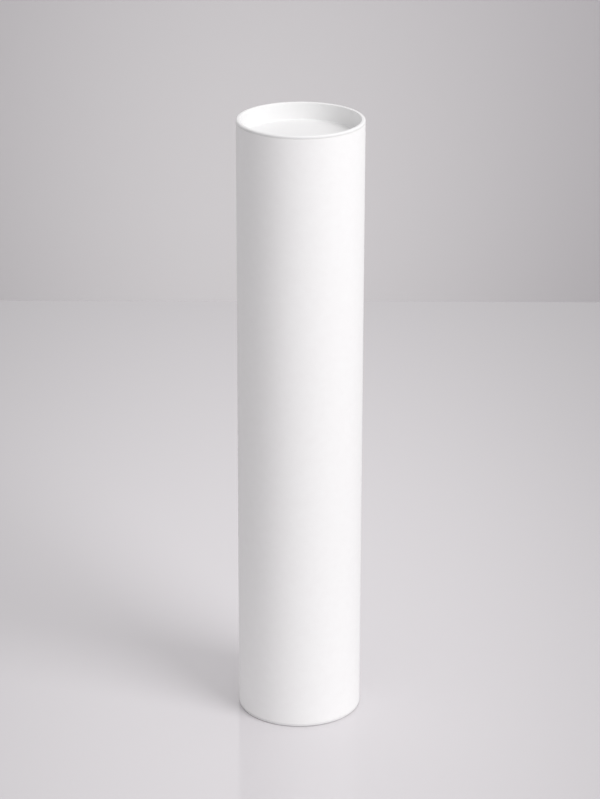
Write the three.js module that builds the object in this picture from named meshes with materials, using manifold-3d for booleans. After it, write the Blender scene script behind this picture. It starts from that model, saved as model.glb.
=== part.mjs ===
// A round card mailing tube with a push-in plastic plug in each end.
//
// The tube is wound from paper board and cut square. The two plugs are the same moulding, one of
// them turned over. Each is a shallow cup whose skirt grips the bore with low ribs, and whose flange
// covers the tube's cut end, so the closed tube stands on the lower flange.
//
// Units are millimetres, +Z is up, and the origin is the centre of the face the tube stands on.

import * as THREE from 'three';
import { mergeVertices, toCreasedNormals } from 'three/addons/utils/BufferGeometryUtils.js';
import Module from 'manifold-3d';

const wasm = await Module();
wasm.setup();

// Driving dimensions of the whole
const OVERALL_LENGTH = 300; // between the outer faces of the two plugs
const OUTER_DIAMETER = 60; // of the board tube, and of the flanges that cover its ends

// Driving dimensions of the tube
const TUBE_WALL = 1;
const TUBE_EDGE_ROUND = 0.2; // softened corners of the cut board

// Driving dimensions of a plug
const FLANGE_THICKNESS = 1.3;
const FLANGE_TOP_ROUND = 0.8; // outer corner of the face that shows
const FLANGE_UNDER_ROUND = 0.25; // outer corner next to the board
const RECESS_DEPTH = 8.6; // from the flange's outer face to the cup's floor
const RECESS_MOUTH_ROUND = 0.4;
const RECESS_CORNER_ROUND = 0.8;
const CUP_FLOOR = 0.8;
const SKIRT_WALL = 0.6;
const NOSE_ROUND = 1.1; // lead-in at the end that goes into the tube first
const RIB_COUNT = 16;
const RIB_WIDTH = 1.2;
const RIB_HEIGHT = 0.15; // how far a rib stands out of the skirt

// Clearances
const BORE_CLEARANCE = 0.1; // between the crest of a rib and the tube's bore
const SEAT_CLEARANCE = 0.1; // between a flange and the cut end of the board

// Fineness of the round forms
const SIDES = 96; // around the axis, the same for every piece, so that facets lie side by side
const ARC_STEPS = 3; // along each rounded corner

// Sizes that follow from those above
const outerRadius = OUTER_DIAMETER / 2;
const boreRadius = outerRadius - TUBE_WALL;
const tubeBottom = FLANGE_THICKNESS + SEAT_CLEARANCE;
const tubeTop = OVERALL_LENGTH - tubeBottom;
const ribCrestRadius = boreRadius - BORE_CLEARANCE;
const skirtRadius = ribCrestRadius - RIB_HEIGHT;
const recessRadius = skirtRadius - SKIRT_WALL;
const plugDepth = RECESS_DEPTH + CUP_FLOOR;

// Returns a profile's points with its corners rounded. Each corner is [radius, height, round], and a
// round of 0 keeps it sharp. The rounds are arcs that touch both edges of their corner.
function roundCorners(corners, closed) {
	const points = [];
	const count = corners.length;
	corners.forEach(([x, y, round], i) => {
		const corner = new THREE.Vector2(x, y);
		const isEnd = !closed && (i === 0 || i === count - 1);
		if (isEnd || round === 0) {
			points.push(corner);
			return;
		}
		const [beforeX, beforeY] = corners[(i + count - 1) % count];
		const [afterX, afterY] = corners[(i + 1) % count];
		const toBefore = new THREE.Vector2(beforeX, beforeY).sub(corner).normalize();
		const toAfter = new THREE.Vector2(afterX, afterY).sub(corner).normalize();
		const halfAngle = Math.acos(toBefore.dot(toAfter)) / 2;
		const inward = toBefore.clone().add(toAfter).normalize();
		const centre = corner.clone().addScaledVector(inward, round / Math.sin(halfAngle));
		const reach = round / Math.tan(halfAngle);
		const start = corner.clone().addScaledVector(toBefore, reach).sub(centre);
		const end = corner.clone().addScaledVector(toAfter, reach).sub(centre);
		const sweep = Math.atan2(start.cross(end), start.dot(end));
		for (let step = 0; step <= ARC_STEPS; step += 1) {
			const turned = start.clone().rotateAround(new THREE.Vector2(), (sweep * step) / ARC_STEPS);
			points.push(turned.add(centre));
		}
	});
	if (closed) points.push(points[0].clone());
	return points;
}

// Turns a profile of [radius, height, round] corners about +Z. It runs anticlockwise, seen with the
// axis on its left, so that the faces look outwards.
function turn(corners, closed) {
	const geometry = new THREE.LatheGeometry(roundCorners(corners, closed), SIDES);
	return geometry.rotateX(Math.PI / 2);
}

// Makes a solid of a closed geometry, for joining
function toSolid(geometry) {
	const bare = geometry.clone();
	bare.deleteAttribute('normal');
	bare.deleteAttribute('uv');
	const merged = mergeVertices(bare);
	const vertProperties = merged.attributes.position.array;
	const triVerts = Uint32Array.from(merged.index.array);
	return new wasm.Manifold(new wasm.Mesh({ numProp: 3, vertProperties, triVerts }));
}

// Makes a geometry of a solid, with sharp edges where its faces meet at more than 30 degrees
function toGeometry(solid) {
	const mesh = solid.getMesh();
	const geometry = new THREE.BufferGeometry();
	geometry.setAttribute('position', new THREE.BufferAttribute(mesh.vertProperties, 3));
	geometry.setIndex(new THREE.BufferAttribute(mesh.triVerts, 1));
	return toCreasedNormals(geometry, Math.PI / 6);
}

// The board tube: a plain ring in section, drawn once round
function tubeGeometry() {
	return turn([
		[boreRadius, tubeBottom, TUBE_EDGE_ROUND],
		[outerRadius, tubeBottom, TUBE_EDGE_ROUND],
		[outerRadius, tubeTop, TUBE_EDGE_ROUND],
		[boreRadius, tubeTop, TUBE_EDGE_ROUND],
	], true);
}

// The turned body of a plug: its flange's outer face is at height 0, and the cup hangs below
function plugBodyGeometry() {
	return turn([
		[0, -plugDepth, 0],
		[skirtRadius, -plugDepth, NOSE_ROUND],
		[skirtRadius, -FLANGE_THICKNESS, 0],
		[outerRadius, -FLANGE_THICKNESS, FLANGE_UNDER_ROUND],
		[outerRadius, 0, FLANGE_TOP_ROUND],
		[recessRadius, 0, RECESS_MOUTH_ROUND],
		[recessRadius, -RECESS_DEPTH, RECESS_CORNER_ROUND],
		[0, -RECESS_DEPTH, 0],
	], false);
}

// One grip rib, seen from its side: it runs down the skirt from inside the flange, and slopes into
// the skirt beside the nose
function ribGeometry() {
	const rootRadius = skirtRadius - SKIRT_WALL / 2;
	const top = -FLANGE_THICKNESS / 2;
	const slopeEnd = -plugDepth + NOSE_ROUND;
	const slopeStart = slopeEnd + NOSE_ROUND;
	const side = new THREE.Shape([
		new THREE.Vector2(rootRadius, slopeEnd),
		new THREE.Vector2(skirtRadius, slopeEnd),
		new THREE.Vector2(ribCrestRadius, slopeStart),
		new THREE.Vector2(ribCrestRadius, top),
		new THREE.Vector2(rootRadius, top),
	]);
	const geometry = new THREE.ExtrudeGeometry(side, { depth: RIB_WIDTH, bevelEnabled: false });
	return geometry.translate(0, 0, -RIB_WIDTH / 2).rotateX(Math.PI / 2);
}

// The whole plug: its turned body with the ribs joined on. Each rib starts at the middle of a facet.
function plugGeometry() {
	const rib = ribGeometry();
	let plug = toSolid(plugBodyGeometry());
	for (let i = 0; i < RIB_COUNT; i += 1) {
		const angle = (2 * Math.PI * i) / RIB_COUNT + Math.PI / SIDES;
		plug = plug.add(toSolid(rib.clone().rotateZ(angle)));
	}
	return toGeometry(plug);
}

const paperBoard = new THREE.MeshStandardMaterial({ color: 0xf3f3f0, roughness: 0.75, metalness: 0 });
const whitePlastic = new THREE.MeshStandardMaterial({ color: 0xf5f5f4, roughness: 0.45, metalness: 0 });

const tube = new THREE.Mesh(tubeGeometry(), paperBoard);
tube.name = 'tube';

const plugShape = plugGeometry();

const topPlug = new THREE.Mesh(plugShape, whitePlastic);
topPlug.name = 'top_plug';
topPlug.position.z = OVERALL_LENGTH;

const bottomPlug = new THREE.Mesh(plugShape, whitePlastic);
bottomPlug.name = 'bottom_plug';
bottomPlug.rotation.x = Math.PI;

const mailingTube = new THREE.Group();
mailingTube.add(bottomPlug, tube, topPlug);

export default mailingTube;
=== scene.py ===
# %% [markdown]
# # A card mailing tube
#
# This lesson dresses a plain round mailing tube: a white board tube about 300 mm long and 60 mm
# across, closed at each end by a push-in plastic plug. The real thing is three pieces, so the model
# is three pieces too. A faceted construction model is already there, with its sizes and joints, and
# each piece made here stands exactly where its faceted twin is.
#
# A plain white object gives the eye very little: the roundness of its edges, the fine line where two
# pieces meet, and how the light rolls round it. So those are what this file spends its care on.

# %% Load the frame
import math

import bpy
from mathutils import Matrix, Vector


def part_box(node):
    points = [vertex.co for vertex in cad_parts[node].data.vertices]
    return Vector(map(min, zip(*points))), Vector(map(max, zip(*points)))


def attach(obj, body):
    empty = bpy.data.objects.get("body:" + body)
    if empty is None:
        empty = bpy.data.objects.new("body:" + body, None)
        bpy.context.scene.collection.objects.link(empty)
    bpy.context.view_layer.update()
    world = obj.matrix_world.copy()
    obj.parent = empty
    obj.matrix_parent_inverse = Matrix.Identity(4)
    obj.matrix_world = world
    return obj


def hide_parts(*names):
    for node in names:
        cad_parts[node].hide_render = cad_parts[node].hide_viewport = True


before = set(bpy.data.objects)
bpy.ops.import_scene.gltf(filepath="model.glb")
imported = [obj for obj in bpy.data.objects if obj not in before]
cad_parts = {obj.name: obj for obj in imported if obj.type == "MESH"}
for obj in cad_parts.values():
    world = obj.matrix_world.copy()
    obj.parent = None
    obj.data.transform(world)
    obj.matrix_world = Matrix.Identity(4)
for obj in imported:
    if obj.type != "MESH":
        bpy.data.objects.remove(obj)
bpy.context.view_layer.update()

# %% [markdown]
# ## Sizes
#
# The overall sizes are read from the frame, so that this model can't drift away from the
# construction. The small ones are named here in millimetres, and most are the construction's own.
# Three are finer. The construction leaves 0.1 mm between a flange and the cut board, but on the real
# object that seam is a hair line, so here the flange reaches to 0.02 mm from the board, and the
# rounds on both sides of the seam are 0.12 mm.

# %% Sizes
MM = 0.001

tube_low, tube_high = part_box("tube")
plug_low, plug_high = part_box("bottom_plug")
OUTER_RADIUS = (tube_high[0] - tube_low[0]) / 2
TUBE_BOTTOM, TUBE_TOP = tube_low[2], tube_high[2]
OVERALL_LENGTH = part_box("top_plug")[1][2]
PLUG_DEPTH = plug_high[2] - plug_low[2]

TUBE_WALL = 1.0 * MM
TUBE_EDGE_ROUND = 0.12 * MM

SEAT_GAP = 0.02 * MM
FLANGE_THICKNESS = TUBE_BOTTOM - SEAT_GAP
FLANGE_TOP_ROUND = 0.8 * MM
FLANGE_UNDER_ROUND = 0.12 * MM
RECESS_MOUTH_ROUND = 0.4 * MM
RECESS_CORNER_ROUND = 0.8 * MM
CUP_FLOOR = 0.8 * MM
SKIRT_WALL = 0.6 * MM
NOSE_ROUND = 1.1 * MM
RIB_COUNT = 16
FIRST_RIB_ANGLE = math.pi / 96
RIB_WIDTH = 1.2 * MM
RIB_HEIGHT = 0.15 * MM
BORE_CLEARANCE = 0.1 * MM

BORE_RADIUS = OUTER_RADIUS - TUBE_WALL
SKIRT_RADIUS = BORE_RADIUS - BORE_CLEARANCE - RIB_HEIGHT
RECESS_RADIUS = SKIRT_RADIUS - SKIRT_WALL
RECESS_DEPTH = PLUG_DEPTH - CUP_FLOOR
print("tube %.1f mm across, %.1f mm long" % (2 * OUTER_RADIUS / MM, OVERALL_LENGTH / MM))

# %% [markdown]
# ## Colours and nodes
#
# Two small helpers serve every material. One turns an sRGB hex colour, as a paint card or an image
# editor gives it, into the linear light that a shader works in. The other adds a node with its
# settings and links in one call, so that a material reads as a list of steps.

# %% Colour and node helpers
def linear(hex_colour):
    """The linear RGBA of an sRGB colour such as #F4F4F2."""
    parts = [int(hex_colour[i:i + 2], 16) / 255 for i in (1, 3, 5)]
    return (*[p / 12.92 if p <= 0.04045 else ((p + 0.055) / 1.055) ** 2.4 for p in parts], 1.0)


def add_node(tree, kind, inputs=None, **settings):
    """Adds a node. inputs maps a socket's name or number to a value, or to the socket that feeds it."""
    node = tree.nodes.new(kind)
    for name, value in settings.items():
        setattr(node, name, value)
    for key, value in (inputs or {}).items():
        if isinstance(value, bpy.types.NodeSocket):
            tree.links.new(value, node.inputs[key])
        else:
            node.inputs[key].default_value = value
    return node


def new_material(name):
    """An empty node material, with its tree and its output node."""
    material = bpy.data.materials.new(name)
    material.use_nodes = True
    material.node_tree.nodes.clear()
    output = add_node(material.node_tree, "ShaderNodeOutputMaterial")
    return material, material.node_tree, output


# %% [markdown]
# ## White board
#
# The tube is wound from paper board, and its outer ply is a smooth white paper with a thin matt
# coating. Up close such paper is never one flat white. Its fibres clump a little as the sheet is
# formed, which gives a faint cloudiness a few millimetres wide, and its surface has a fine tooth. The
# fibres are only a few hundredths of a millimetre wide, too fine to show, so the tooth is drawn at
# 0.35 mm here. Its marks are shorter along the axis than around it, because the ply is wound on
# round the tube. The coating scatters most of the light and keeps a weak, broad gloss, which a
# roughness of about 0.6 gives. The IOR of 1.47 is that of cellulose, which paper is made of.

# %% Board material
PAPER_IOR = 1.47
FORMATION_SIZE = 4.0 * MM
TOOTH_SIZE = 0.35 * MM
TOOTH_STRETCH = 2.5
TOOTH_DEPTH = 0.02 * MM
BOARD_COLOURS = (linear("#F2F1F1"), linear("#F6F6F6"))
BOARD_ROUGHNESS = (0.56, 0.68)


def white_board():
    """Matt coated white paper, wound: an even white with a faint cloudiness and a fine tooth."""
    material, tree, output = new_material("wound_matt_coated_white_board")
    place = add_node(tree, "ShaderNodeTexCoord").outputs["Object"]
    clouds = add_node(tree, "ShaderNodeTexNoise", {
        "Vector": place, "Scale": 1 / FORMATION_SIZE, "Detail": 3.0, "Roughness": 0.6})
    colour = add_node(tree, "ShaderNodeMix", {
        "Factor": clouds.outputs["Fac"], "A": BOARD_COLOURS[0], "B": BOARD_COLOURS[1]},
        data_type="RGBA")
    wound = add_node(tree, "ShaderNodeMapping", {
        "Vector": place, "Scale": (1.0, 1.0, TOOTH_STRETCH)})
    tooth = add_node(tree, "ShaderNodeTexNoise", {
        "Vector": wound.outputs["Vector"], "Scale": 1 / TOOTH_SIZE, "Detail": 4.0, "Roughness": 0.65})
    gloss = add_node(tree, "ShaderNodeMapRange", {
        "Value": tooth.outputs["Fac"], "To Min": BOARD_ROUGHNESS[0], "To Max": BOARD_ROUGHNESS[1]})
    bump = add_node(tree, "ShaderNodeBump", {
        "Height": tooth.outputs["Fac"], "Strength": 0.25, "Distance": TOOTH_DEPTH})
    surface = add_node(tree, "ShaderNodeBsdfPrincipled", {
        "Base Color": colour.outputs["Result"], "Roughness": gloss.outputs["Result"],
        "IOR": PAPER_IOR, "Normal": bump.outputs["Normal"]})
    tree.links.new(surface.outputs["BSDF"], output.inputs["Surface"])
    return material


# %% [markdown]
# The cut end of the tube shows the board from its edge. The blade leaves it rougher than the coated
# face, a little greyer, and faintly ringed where one ply lies on the next. A sine wave of the
# distance from the axis draws those rings, a quarter of a millimetre apart, and a little noise bends
# them, because no ply is perfectly even.

# %% Cut board
PLY_THICKNESS = 0.25 * MM
PLY_WAVER = 0.12 * MM
FIBRE_DEPTH = 0.05 * MM
PLY_COLOURS = (linear("#DEDCD6"), linear("#ECEBE6"))
CUT_ROUGHNESS = 0.85


def cut_board():
    """Board seen from its cut edge: matt, fibrous, with the plies as faint rings."""
    material, tree, output = new_material("knife_cut_board_edge")
    place = add_node(tree, "ShaderNodeTexCoord").outputs["Object"]
    flat = add_node(tree, "ShaderNodeVectorMath", {0: place, 1: (1.0, 1.0, 0.0)}, operation="MULTIPLY")
    radius = add_node(tree, "ShaderNodeVectorMath", {0: flat.outputs["Vector"]}, operation="LENGTH")
    fibres = add_node(tree, "ShaderNodeTexNoise", {
        "Vector": place, "Scale": 1 / TOOTH_SIZE, "Detail": 5.0, "Roughness": 0.7})
    wavering = add_node(tree, "ShaderNodeMath", {
        0: fibres.outputs["Fac"], 1: PLY_WAVER, 2: radius.outputs["Value"]}, operation="MULTIPLY_ADD")
    turns = add_node(tree, "ShaderNodeMath", {
        0: wavering.outputs["Value"], 1: 2 * math.pi / PLY_THICKNESS}, operation="MULTIPLY")
    rings = add_node(tree, "ShaderNodeMath", {0: turns.outputs["Value"]}, operation="SINE")
    share = add_node(tree, "ShaderNodeMapRange", {
        "Value": rings.outputs["Value"], "From Min": -1.0, "From Max": 1.0})
    colour = add_node(tree, "ShaderNodeMix", {
        "Factor": share.outputs["Result"], "A": PLY_COLOURS[0], "B": PLY_COLOURS[1]},
        data_type="RGBA")
    bump = add_node(tree, "ShaderNodeBump", {
        "Height": fibres.outputs["Fac"], "Strength": 0.6, "Distance": FIBRE_DEPTH})
    surface = add_node(tree, "ShaderNodeBsdfPrincipled", {
        "Base Color": colour.outputs["Result"], "Roughness": CUT_ROUGHNESS,
        "IOR": PAPER_IOR, "Normal": bump.outputs["Normal"]})
    tree.links.new(surface.outputs["BSDF"], output.inputs["Surface"])
    return material


# %% [markdown]
# ## White moulded plastic
#
# The plugs are injection moulded in a soft white polyethylene. It is waxy: some of the light goes in
# and comes out a millimetre or so away, which softens the thin rim and the corners of the cup. The
# mould was finished with a fine spark texture, which spreads the highlight and leaves a faint grain.
# That grain is a few hundredths of a millimetre in the mould, and 0.3 mm here so that it can show.
# The flow of the melt leaves a tint that changes over about a centimetre, too weak to notice alone.
# The IOR of polyethylene is 1.51.

# %% Plug material
PLASTIC_IOR = 1.51
SPARK_SIZE = 0.3 * MM
SPARK_DEPTH = 0.02 * MM
FLOW_SIZE = 9.0 * MM
PLASTIC_COLOURS = (linear("#E5E5E5"), linear("#E8E8E8"))
PLASTIC_ROUGHNESS = (0.40, 0.50)
WAX_SHARE = 0.05
WAX_DEPTH = 0.8 * MM


def moulded_plastic():
    """Satin white polyethylene, moulded: waxy, with a fine even grain."""
    material, tree, output = new_material("moulded_satin_white_polyethylene")
    place = add_node(tree, "ShaderNodeTexCoord").outputs["Object"]
    grain = add_node(tree, "ShaderNodeTexNoise", {
        "Vector": place, "Scale": 1 / SPARK_SIZE, "Detail": 2.0, "Roughness": 0.5})
    flow = add_node(tree, "ShaderNodeTexNoise", {
        "Vector": place, "Scale": 1 / FLOW_SIZE, "Detail": 2.0, "Roughness": 0.5})
    colour = add_node(tree, "ShaderNodeMix", {
        "Factor": flow.outputs["Fac"], "A": PLASTIC_COLOURS[0], "B": PLASTIC_COLOURS[1]},
        data_type="RGBA")
    gloss = add_node(tree, "ShaderNodeMapRange", {
        "Value": grain.outputs["Fac"],
        "To Min": PLASTIC_ROUGHNESS[0], "To Max": PLASTIC_ROUGHNESS[1]})
    bump = add_node(tree, "ShaderNodeBump", {
        "Height": grain.outputs["Fac"], "Strength": 0.15, "Distance": SPARK_DEPTH})
    surface = add_node(tree, "ShaderNodeBsdfPrincipled", {
        "Base Color": colour.outputs["Result"], "Roughness": gloss.outputs["Result"],
        "IOR": PLASTIC_IOR, "Subsurface Weight": WAX_SHARE,
        "Subsurface Radius": (1.0, 1.0, 1.0), "Subsurface Scale": WAX_DEPTH,
        "Normal": bump.outputs["Normal"]})
    tree.links.new(surface.outputs["BSDF"], output.inputs["Surface"])
    return material


WHITE_BOARD = white_board()
CUT_BOARD = cut_board()
PLUG_PLASTIC = moulded_plastic()
print("materials:", WHITE_BOARD.name, CUT_BOARD.name, PLUG_PLASTIC.name)

# %% [markdown]
# ## A section with rounded corners
#
# All three pieces are round about one axis, so each is drawn once, as a section: a line through the
# points (distance from the axis, height), with every corner rounded by a true arc. A smooth-shaded
# surface bends its light over the whole of a face, also over a face 297 mm long, unless a ring of
# points close to the round holds it. So the section gets one point more on each side of every arc.

# %% Section drawing
ARC_STEPS = 8
HOLD = 0.06 * MM


def rounded(corners):
    """The points of a section. Each corner is (radius, height, round), and a round of 0 stays sharp."""
    points = []
    for i, (radius, height, bend) in enumerate(corners):
        here = Vector((radius, height))
        if bend == 0:
            points.append(here)
            continue
        before = (Vector(corners[i - 1][:2]) - here).normalized()
        after = (Vector(corners[(i + 1) % len(corners)][:2]) - here).normalized()
        half_angle = before.angle(after) / 2
        reach = bend / math.tan(half_angle)
        centre = here + (before + after).normalized() * bend / math.sin(half_angle)
        start = (here + before * reach - centre).normalized()
        end = (here + after * reach - centre).normalized()
        points.append(here + before * (reach + HOLD))
        points += [centre + start.slerp(end, step / ARC_STEPS) * bend for step in range(ARC_STEPS + 1)]
        points.append(here + after * (reach + HOLD))
    return points


# %% [markdown]
# ## Helpers for the trees
#
# Two Geometry Nodes trees make the shapes. Each starts with its own named inputs and ends in the same
# way: smooth shading, Realize Instances and Set Material. What a tree makes is then kept as a plain
# mesh and its modifier is taken off, so that nothing is left to be worked out later.

# %% Tree helpers
def new_tree(name, sockets):
    """A Geometry Nodes tree with the named inputs, and its input node."""
    tree = bpy.data.node_groups.new(name, "GeometryNodeTree")
    tree.interface.new_socket("Geometry", in_out="INPUT", socket_type="NodeSocketGeometry")
    for label, kind in sockets.items():
        tree.interface.new_socket(label, in_out="INPUT", socket_type=kind)
    tree.interface.new_socket("Geometry", in_out="OUTPUT", socket_type="NodeSocketGeometry")
    return tree, add_node(tree, "NodeGroupInput")


def end_tree(tree, given, geometry):
    """Ends a tree: smooth shading, real geometry and the material it was given."""
    smooth = add_node(tree, "GeometryNodeSetShadeSmooth", {"Geometry": geometry})
    real = add_node(tree, "GeometryNodeRealizeInstances", {"Geometry": smooth.outputs[0]})
    dressed = add_node(tree, "GeometryNodeSetMaterial", {
        "Geometry": real.outputs[0], "Material": given.outputs["Material"]})
    add_node(tree, "NodeGroupOutput", {"Geometry": dressed.outputs[0]})
    print(tree.name, "has", len(tree.nodes), "nodes")


def run_tree(thing, tree, values):
    """Runs a tree on an object, and puts the plain mesh that it makes in the object's place."""
    modifier = thing.modifiers.new(tree.name, "NODES")
    modifier.node_group = tree
    for socket in tree.interface.items_tree:
        if socket.in_out == "INPUT" and socket.name in values:
            modifier[socket.identifier] = values[socket.name]
    shown = bpy.context.evaluated_depsgraph_get()
    made = bpy.data.meshes.new_from_object(thing.evaluated_get(shown))
    thing.modifiers.clear()
    thing.data = made
    return thing


# %% [markdown]
# ## A tree that turns a section
#
# The first tree does what a lathe does. It takes the section as a chain of edges, makes a curve of it
# and sweeps it round a small circle with Curve to Mesh. The sweep hangs the section's second axis
# downwards, so the section is drawn with its heights negated, and the faces are flipped to look
# outwards. Where a section starts or ends on the axis, all its copies meet in one point, and Merge by
# Distance makes that a single vertex, so that the pole is closed.

# %% The turning tree
RAIL_RADIUS = 1.0 * MM
MERGE_DISTANCE = 0.001 * MM

turn_tree, given = new_tree("turn_a_section", {
    "Sides": "NodeSocketInt", "Rail Radius": "NodeSocketFloat", "Merge Distance": "NodeSocketFloat",
    "Material": "NodeSocketMaterial"})
section_curve = add_node(turn_tree, "GeometryNodeMeshToCurve", {"Mesh": given.outputs["Geometry"]})
rail = add_node(turn_tree, "GeometryNodeCurvePrimitiveCircle", {
    "Resolution": given.outputs["Sides"], "Radius": given.outputs["Rail Radius"]})
swept = add_node(turn_tree, "GeometryNodeCurveToMesh", {
    "Curve": rail.outputs["Curve"], "Profile Curve": section_curve.outputs["Curve"]})
outward = add_node(turn_tree, "GeometryNodeFlipFaces", {"Mesh": swept.outputs["Mesh"]})
closed_poles = add_node(turn_tree, "GeometryNodeMergeByDistance", {
    "Geometry": outward.outputs["Mesh"], "Distance": given.outputs["Merge Distance"]})
end_tree(turn_tree, given, closed_poles.outputs["Geometry"])


def turned(name, points, closed, sides, material):
    """An object turned from a section's points."""
    section = bpy.data.meshes.new(name)
    chain = [(i, i + 1) for i in range(len(points) - 1)]
    if closed:
        chain.append((len(points) - 1, 0))
    section.from_pydata([(p.x - RAIL_RADIUS, -p.y, 0.0) for p in points], chain, [])
    thing = bpy.data.objects.new(name, section)
    bpy.context.collection.objects.link(thing)
    run_tree(thing, turn_tree, {
        "Sides": sides, "Rail Radius": RAIL_RADIUS, "Merge Distance": MERGE_DISTANCE,
        "Material": material})
    print(name, len(thing.data.polygons), "faces")
    return thing


# %% [markdown]
# ## The tube
#
# The real tube is wound on a mandrel, so its bore and outside are as true as the mandrel, and then a
# knife cuts it square. Its section is a rectangle, as thin as the board, with its corners barely
# softened: that little round is what catches the line of light beside the plug's flange.

# %% The tube
TUBE_SIDES = 288

tube = turned("board_tube", rounded([
    (BORE_RADIUS, TUBE_BOTTOM, TUBE_EDGE_ROUND),
    (OUTER_RADIUS, TUBE_BOTTOM, TUBE_EDGE_ROUND),
    (OUTER_RADIUS, TUBE_TOP, TUBE_EDGE_ROUND),
    (BORE_RADIUS, TUBE_TOP, TUBE_EDGE_ROUND),
]), True, TUBE_SIDES, WHITE_BOARD)

MOSTLY_LEVEL = math.cos(math.radians(45))

tube.data.materials.append(CUT_BOARD)
cut_faces = [face for face in tube.data.polygons if abs(face.normal.z) > MOSTLY_LEVEL]
for face in cut_faces:
    face.material_index = 1
print(len(cut_faces), "faces of the tube show cut board")

# %% [markdown]
# ## A tree that raises the grip ribs
#
# The plug's skirt is a little smaller than the bore, and low ribs on it take up the difference, so
# that the plug is held without splitting the board. They repeat by a rule, so a second tree raises
# them from the skirt's own surface instead of adding pieces. For each point of the skirt it works out
# how far round it lies from the nearest rib's middle, turns that into a height from 0 to 1 with a
# smooth step, and moves the point outwards by that share of the rib's height. A second smooth step
# along the axis slopes each rib into the nose, so that the plug starts easily.

# %% The rib tree
rib_tree, given = new_tree("raise_grip_ribs", {
    "Count": "NodeSocketFloat", "First Angle": "NodeSocketFloat", "Skirt Radius": "NodeSocketFloat",
    "Half Width": "NodeSocketFloat", "Flank": "NodeSocketFloat", "Rib Height": "NodeSocketFloat",
    "Slope Low": "NodeSocketFloat", "Slope High": "NodeSocketFloat", "Top": "NodeSocketFloat",
    "Tolerance": "NodeSocketFloat", "Material": "NodeSocketMaterial"})


def figure(operation, *values, **settings):
    """One step of arithmetic in the rib tree."""
    inputs = dict(enumerate(values))
    return add_node(rib_tree, "ShaderNodeMath", inputs, operation=operation, **settings).outputs["Value"]


def smooth_step(value, low, high):
    """0 below low, 1 above high and a smooth rise between them. low may be the larger one."""
    step = add_node(rib_tree, "ShaderNodeMapRange", {
        "Value": value, "From Min": low, "From Max": high}, interpolation_type="SMOOTHSTEP")
    return step.outputs["Result"]


position = add_node(rib_tree, "GeometryNodeInputPosition").outputs["Position"]
axes = add_node(rib_tree, "ShaderNodeSeparateXYZ", {"Vector": position}).outputs
angle = figure("SUBTRACT", figure("ARCTAN2", axes["Y"], axes["X"]), given.outputs["First Angle"])
spaces = figure("MULTIPLY", angle, figure("DIVIDE", given.outputs["Count"], 2 * math.pi))
off_middle = figure("ABSOLUTE", figure("SUBTRACT", figure("FRACT", figure("ADD", spaces, 0.5)), 0.5))
girth = figure("MULTIPLY", given.outputs["Skirt Radius"], 2 * math.pi)
pitch = figure("DIVIDE", girth, given.outputs["Count"])
way_round = figure("MULTIPLY", off_middle, pitch)
foot = figure("ADD", given.outputs["Half Width"], given.outputs["Flank"])
across = smooth_step(way_round, foot, given.outputs["Half Width"])
along = smooth_step(axes["Z"], given.outputs["Slope Low"], given.outputs["Slope High"])
rise = figure("MULTIPLY", figure("MULTIPLY", across, along), given.outputs["Rib Height"])
level = add_node(rib_tree, "ShaderNodeCombineXYZ", {"X": axes["X"], "Y": axes["Y"]}).outputs["Vector"]
away = add_node(rib_tree, "ShaderNodeVectorMath", {0: level}, operation="NORMALIZE").outputs["Vector"]
move = add_node(rib_tree, "ShaderNodeVectorMath", {0: away, "Scale": rise}, operation="SCALE")
distance = add_node(rib_tree, "ShaderNodeVectorMath", {0: level}, operation="LENGTH").outputs["Value"]
on_skirt = figure("COMPARE", distance, given.outputs["Skirt Radius"], given.outputs["Tolerance"])
below_flange = figure("LESS_THAN", axes["Z"], given.outputs["Top"])
ribbed = add_node(rib_tree, "GeometryNodeSetPosition", {
    "Geometry": given.outputs["Geometry"], "Selection": figure("MULTIPLY", on_skirt, below_flange),
    "Offset": move.outputs["Vector"]})
end_tree(rib_tree, given, ribbed.outputs["Geometry"])

# %% [markdown]
# ## The plugs
#
# A plug is a shallow cup with a flange. The mould gives every edge a small round: the flange's outer
# edge, the lip of the recess and the corner at the cup's floor, where the light gathers into a soft
# line. The section is drawn with the flange's outer face at height 0 and the cup hanging below it, as
# on the tube's top. The bottom plug is the same moulding turned over: half a turn about X swaps the
# signs of Y and Z, and a diagonal matrix does that without a rounding error.
#
# The tree can only move points that are there. So the skirt gets a few more rows where the ribs slope,
# and enough sides for the points beside a rib to stand close together.

# %% One plug
PLUG_SIDES = 480
RIB_SLOPE_ROWS = 5
RIB_FLANK = 0.4 * MM
SKIRT_TOLERANCE = 0.02 * MM
SKIRT_ROOT_ROUND = 0.15 * MM

slope_low = -PLUG_DEPTH + NOSE_ROUND
slope_high = slope_low + NOSE_ROUND
slope_rows = [
    (SKIRT_RADIUS, slope_low + (slope_high - slope_low) * (row + 1) / RIB_SLOPE_ROWS, 0)
    for row in range(RIB_SLOPE_ROWS)
]


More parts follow.
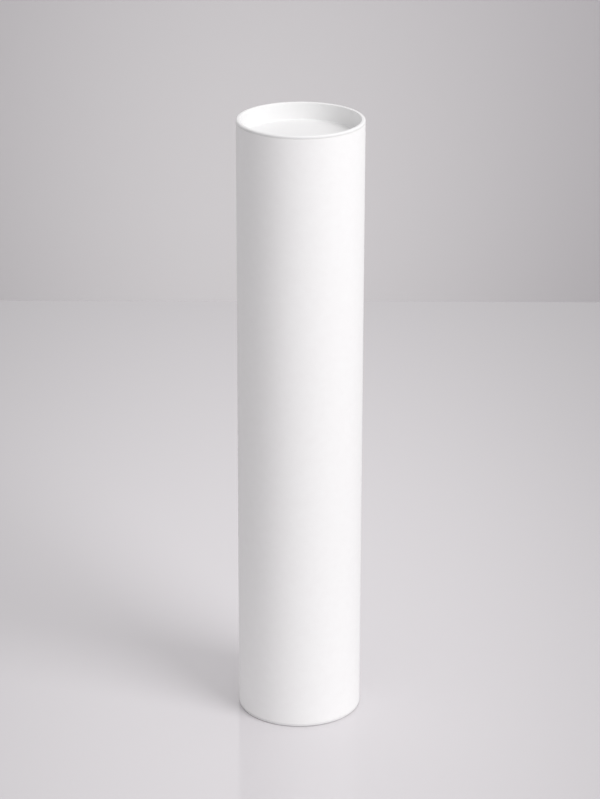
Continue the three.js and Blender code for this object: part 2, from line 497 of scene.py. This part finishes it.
def plug(name):
    """One plug, with its flange's outer face at height 0 and its cup below."""
    thing = turned(name, rounded([
        (0.0, -PLUG_DEPTH, 0),
        (SKIRT_RADIUS, -PLUG_DEPTH, NOSE_ROUND),
        *slope_rows,
        (SKIRT_RADIUS, -FLANGE_THICKNESS, SKIRT_ROOT_ROUND),
        (OUTER_RADIUS, -FLANGE_THICKNESS, FLANGE_UNDER_ROUND),
        (OUTER_RADIUS, 0.0, FLANGE_TOP_ROUND),
        (RECESS_RADIUS, 0.0, RECESS_MOUTH_ROUND),
        (RECESS_RADIUS, -RECESS_DEPTH, RECESS_CORNER_ROUND),
        (0.0, -RECESS_DEPTH, 0),
    ]), False, PLUG_SIDES, PLUG_PLASTIC)
    return run_tree(thing, rib_tree, {
        "Count": float(RIB_COUNT), "First Angle": FIRST_RIB_ANGLE, "Skirt Radius": SKIRT_RADIUS,
        "Half Width": RIB_WIDTH / 2 - RIB_FLANK / 2, "Flank": RIB_FLANK, "Rib Height": RIB_HEIGHT,
        "Slope Low": slope_low, "Slope High": slope_high, "Top": -FLANGE_THICKNESS - SKIRT_ROOT_ROUND,
        "Tolerance": SKIRT_TOLERANCE, "Material": PLUG_PLASTIC})


HALF_TURN_ABOUT_X = Matrix.Diagonal((1, -1, -1, 1))

top_plug = plug("top_end_plug")
bottom_plug = plug("bottom_end_plug")
top_plug.data.transform(Matrix.Translation((0, 0, OVERALL_LENGTH)))
bottom_plug.data.transform(HALF_TURN_ABOUT_X)
for thing in (tube, top_plug, bottom_plug):
    heights = [vertex.co.z / MM for vertex in thing.data.vertices]
    print(thing.name, "from z = %.2f mm to %.2f mm" % (min(heights), max(heights)))

# %% [markdown]
# ## Joining the frame
#
# Each fine piece hides its faceted twin and rides on the same body, so that it follows the twin when a
# plug is pulled out. The name of its finish is printed.

# %% Ride and replace
for thing, node, finish in (
    (tube, "tube", "white_board"),
    (top_plug, "top_plug", "white_plug"),
    (bottom_plug, "bottom_plug", "white_plug"),
):
    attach(thing, node)
    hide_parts(node)
    print(thing.name, "rides on", node, "and shows", finish)

# %% [markdown]
# ## Floor and wall
#
# The tube stands on a pale, glossy board in front of a pale wall. Each is one flat face. Both carry a
# painted pool of light: their colour is a touch darker away from the middle, as light falls off, and a
# gradient over their own place paints that: the distance from a centre, divided by the reach of an oval,
# goes from 0 in the middle to 1 at its rim.

# %% Stage helpers
WALL_DISTANCE = 0.60
STAGE_HALF_WIDTH = 4.0
WALL_HEIGHT = 4.0
FLOOR_FRONT = -4.0


def stage_plane(name, corners, material):
    """A flat piece of the set, as one face."""
    mesh = bpy.data.meshes.new(name)
    mesh.from_pydata(corners, [], [tuple(range(len(corners)))])
    mesh.materials.append(material)
    thing = bpy.data.objects.new(name, mesh)
    bpy.context.collection.objects.link(thing)
    return thing


def painted_light_pool(tree, centre, reach, near, far):
    """A painted pool of light: from near, lit, at the centre, to far, shaded, at the rim of an oval with
    that reach.
    """
    place = add_node(tree, "ShaderNodeTexCoord").outputs["Object"]
    away = add_node(tree, "ShaderNodeVectorMath", {0: place, 1: centre}, operation="SUBTRACT")
    stretched = add_node(tree, "ShaderNodeVectorMath", {
        0: away.outputs["Vector"], 1: reach}, operation="DIVIDE")
    distance = add_node(tree, "ShaderNodeVectorMath", {
        0: stretched.outputs["Vector"]}, operation="LENGTH")
    share = add_node(tree, "ShaderNodeMapRange", {
        "Value": distance.outputs["Value"]}, interpolation_type="SMOOTHSTEP")
    return add_node(tree, "ShaderNodeMix", {
        "Factor": share.outputs["Result"], "A": linear(near), "B": linear(far)},
        data_type="RGBA").outputs["Result"]


# %% [markdown]
# The floor's gloss gives the mirror image below the base, so its roughness is low. Its IOR of 2.0 is
# more than the 1.5 of a real varnish, because at 1.5 the mirror image came out too faint.

# %% Floor
FLOOR_LIGHT_POOL_CENTRE = (-0.02, 0.106, 0.0)
FLOOR_LIGHT_POOL_REACH = (0.40, 1.1, 1.0)
FLOOR_LIT_TO_SHADED = ("#D5D2D5", "#9A979A")
VARNISH_ROUGHNESS = 0.10
VARNISH_IOR = 2.0


def floor_material():
    """Smooth painted board: diffuse, with a painted pool of light and the clear gloss of a hard varnish.
    """
    material, tree, output = new_material("varnished_pale_board")
    # The board's colour is a painted pool of light: lighter round the tube, darker away from it, most of
    # all to the sides.
    surface = add_node(tree, "ShaderNodeBsdfPrincipled", {
        "Base Color": painted_light_pool(tree, FLOOR_LIGHT_POOL_CENTRE, FLOOR_LIGHT_POOL_REACH, *FLOOR_LIT_TO_SHADED),
        "Roughness": VARNISH_ROUGHNESS, "IOR": VARNISH_IOR})
    tree.links.new(surface.outputs["BSDF"], output.inputs["Surface"])
    return material


floor = stage_plane("floor", [
    (-STAGE_HALF_WIDTH, FLOOR_FRONT, 0.0), (STAGE_HALF_WIDTH, FLOOR_FRONT, 0.0),
    (STAGE_HALF_WIDTH, WALL_DISTANCE, 0.0), (-STAGE_HALF_WIDTH, WALL_DISTANCE, 0.0),
], floor_material())
print("floor:", floor.active_material.name)

# %% [markdown]
# The wall is a backdrop and nothing more. From behind it lets the camera and the light through, and it
# throws neither diffuse light nor shade on the tube or the floor. Its paint carries a painted pool of
# light, brightest in the middle. To gloss it is a painted glow, an even pale grey that it gives off
# though it is no lamp, so that the floor keeps its tone right up to the wall.

# %% Wall
WALL_LIGHT_POOL_CENTRE = (-0.041, WALL_DISTANCE, 0.041)
WALL_LIGHT_POOL_REACH = (0.405, 1.0, 0.595)
WALL_LIT_TO_SHADED = ("#DCDADB", "#ACA9AC")
WALL_GLOW_IN_GLOSS = linear("#EFEDEE")
PAINT_ROUGHNESS = 0.9


def wall_material():
    """Matt paint with a painted pool of light, clear from behind, that glows an even pale grey in gloss.
    """
    material, tree, output = new_material("matt_painted_pale_wall")
    # The paint's colour is a painted pool of light: lighter in the middle, darker to the sides and the
    # top.
    paint = add_node(tree, "ShaderNodeBsdfPrincipled", {
        "Base Color": painted_light_pool(tree, WALL_LIGHT_POOL_CENTRE, WALL_LIGHT_POOL_REACH, *WALL_LIT_TO_SHADED),
        "Roughness": PAINT_ROUGHNESS})
    clear = add_node(tree, "ShaderNodeBsdfTransparent")
    behind = add_node(tree, "ShaderNodeNewGeometry").outputs["Backfacing"]
    glossy_ray = add_node(tree, "ShaderNodeLightPath").outputs["Is Glossy Ray"]
    # A painted glow: gloss sees the wall give off this pale grey, though it is no lamp.
    pale = add_node(tree, "ShaderNodeEmission", {"Color": WALL_GLOW_IN_GLOSS, "Strength": 1.0})
    front = add_node(tree, "ShaderNodeMixShader", {
        0: glossy_ray, 1: paint.outputs["BSDF"], 2: pale.outputs["Emission"]})
    either = add_node(tree, "ShaderNodeMixShader", {
        0: behind, 1: front.outputs["Shader"], 2: clear.outputs["BSDF"]})
    tree.links.new(either.outputs["Shader"], output.inputs["Surface"])
    return material


wall = stage_plane("wall", [
    (-STAGE_HALF_WIDTH, WALL_DISTANCE, 0.0), (STAGE_HALF_WIDTH, WALL_DISTANCE, 0.0),
    (STAGE_HALF_WIDTH, WALL_DISTANCE, WALL_HEIGHT), (-STAGE_HALF_WIDTH, WALL_DISTANCE, WALL_HEIGHT),
], wall_material())
wall.visible_diffuse = False
wall.visible_shadow = False
print("wall:", wall.active_material.name, "%.2f m behind the tube" % WALL_DISTANCE)

# %% [markdown]
# ## Light
#
# One large soft light stands 50 degrees round to the right and 39 degrees up. It makes the tube's
# right half almost white, lets the light roll off to the left, and throws the rim's shade into the
# recess. Reflections don't show it, because the floor would mirror it as a bright spot in views from
# behind. The rest is an even grey world, a little rosy as the floor is, which keeps the shaded side
# open.

# %% Lamps and world
KEY_TURN = math.radians(50)
KEY_RISE = math.radians(39)
KEY_DISTANCE = 2.2
KEY_SIZE = 1.3
KEY_POWER = 32.0
WORLD_COLOUR = (1.0, 0.985, 0.992, 1.0)
WORLD_LEVEL = 0.71

towards_key = Vector((
    math.sin(KEY_TURN) * math.cos(KEY_RISE),
    -math.cos(KEY_TURN) * math.cos(KEY_RISE),
    math.sin(KEY_RISE),
))
key_data = bpy.data.lights.new("key", "AREA")
key_data.shape = "DISK"
key_data.size = KEY_SIZE
key_data.energy = KEY_POWER
key = bpy.data.objects.new("key", key_data)
key.location = Vector((0, 0, OVERALL_LENGTH / 2)) + towards_key * KEY_DISTANCE
key.rotation_mode = "QUATERNION"
key.rotation_quaternion = towards_key.to_track_quat("Z", "Y")
key.visible_glossy = False
bpy.context.collection.objects.link(key)

world = bpy.data.worlds.new("even_grey")
world.use_nodes = True
world.node_tree.nodes.clear()
sky = add_node(world.node_tree, "ShaderNodeBackground", {
    "Color": WORLD_COLOUR, "Strength": WORLD_LEVEL})
add_node(world.node_tree, "ShaderNodeOutputWorld", {"Surface": sky.outputs["Background"]})
bpy.context.scene.world = world
print("key lamp at", [round(metres, 2) for metres in key.location], "m")

# %% [markdown]
# ## Camera
#
# The camera looks down on the tube by about 21 degrees, from 1.28 m away and 0.66 m up, with a long
# lens, so the sides of the tube draw together only a little towards its foot. It leans a seventh of a
# degree to one side, as a camera on a tripod easily does.

# %% Camera
CAMERA_DISTANCE = 1.2759
CAMERA_HEIGHT = 0.6579
CAMERA_PITCH = math.radians(21.292)
CAMERA_ROLL = math.radians(0.143)
CAMERA_LENS = 128.61
SENSOR = 36.0

camera_data = bpy.data.cameras.new("camera")
camera_data.lens = CAMERA_LENS
camera_data.sensor_width = SENSOR
camera = bpy.data.objects.new("camera", camera_data)
camera.matrix_world = (
    Matrix.Translation((0, -CAMERA_DISTANCE, CAMERA_HEIGHT))
    @ Matrix.Rotation(math.pi / 2 - CAMERA_PITCH, 4, "X")
    @ Matrix.Rotation(CAMERA_ROLL, 4, "Z")
)
bpy.context.collection.objects.link(camera)
bpy.context.scene.camera = camera
bpy.context.scene.view_settings.view_transform = "Standard"
print("camera %.2f m away, with a %.0f mm lens" % (CAMERA_DISTANCE, CAMERA_LENS))
